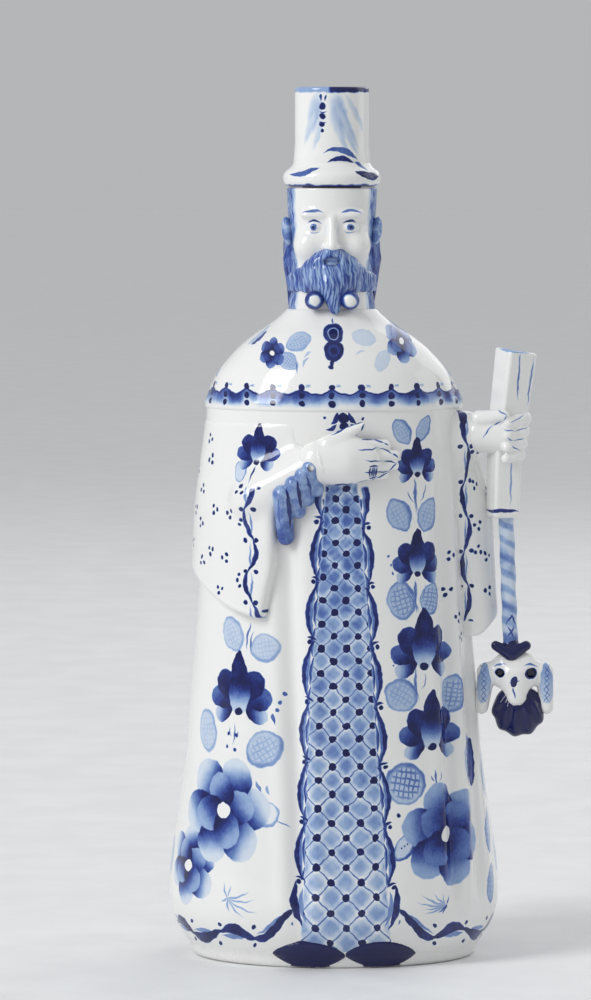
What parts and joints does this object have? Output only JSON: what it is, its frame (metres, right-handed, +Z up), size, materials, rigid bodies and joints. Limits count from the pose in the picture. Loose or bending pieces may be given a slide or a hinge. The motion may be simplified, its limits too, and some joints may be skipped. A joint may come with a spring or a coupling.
{
  "type": "figural porcelain decanter",
  "caption": "Standing robed, bearded figure in cobalt-painted glazed porcelain; a hollow decanter whose tall hat lifts out as its stopper.",
  "frame": {"origin": "centre of the foot, on the surface the decanter stands on", "axes": "+Z up; the figure faces -Y; +X is towards the figure's own left hand, which holds the staff"},
  "size_m": [0.1336, 0.0906, 0.299],
  "materials": {
    "painted_porcelain": "clear gloss glaze over cobalt underglaze painting",
    "white_porcelain": "clear gloss glaze, with a few cobalt lines",
    "cobalt_porcelain": "clear gloss glaze over solid dark cobalt",
    "biscuit_porcelain": "matt unglazed porcelain",
    "cork": "natural fine-grained cork"
  },
  "bodies": {
    "bottle": {"base_floor": "biscuit_porcelain", "robe_shell": "painted_porcelain", "shoulder_cape": "painted_porcelain", "head_shell": "painted_porcelain", "hair": "painted_porcelain", "beard": "painted_porcelain", "right_ear": "painted_porcelain", "left_ear": "painted_porcelain", "collar_bead_right": "painted_porcelain", "collar_bead_left": "painted_porcelain", "right_sleeve": "painted_porcelain", "right_cuff": "painted_porcelain", "right_hand": "white_porcelain", "left_sleeve": "painted_porcelain", "left_hand": "white_porcelain", "staff_grip": "white_porcelain", "twisted_rod": "painted_porcelain", "hound_collar": "cobalt_porcelain", "hound_head": "painted_porcelain", "besom": "cobalt_porcelain", "right_shoe": "cobalt_porcelain", "left_shoe": "cobalt_porcelain"},
    "stopper": {"hat_brim": "painted_porcelain", "hat_crown": "painted_porcelain", "stopper_plug": "biscuit_porcelain", "cork_sleeve": "cork"}
  },
  "joints": [
    {"name": "stopper_lift", "type": "slide", "parent": "bottle", "child": "stopper", "axis": [0, 0, 1], "range_m": [0, 0.03]}
  ]
}
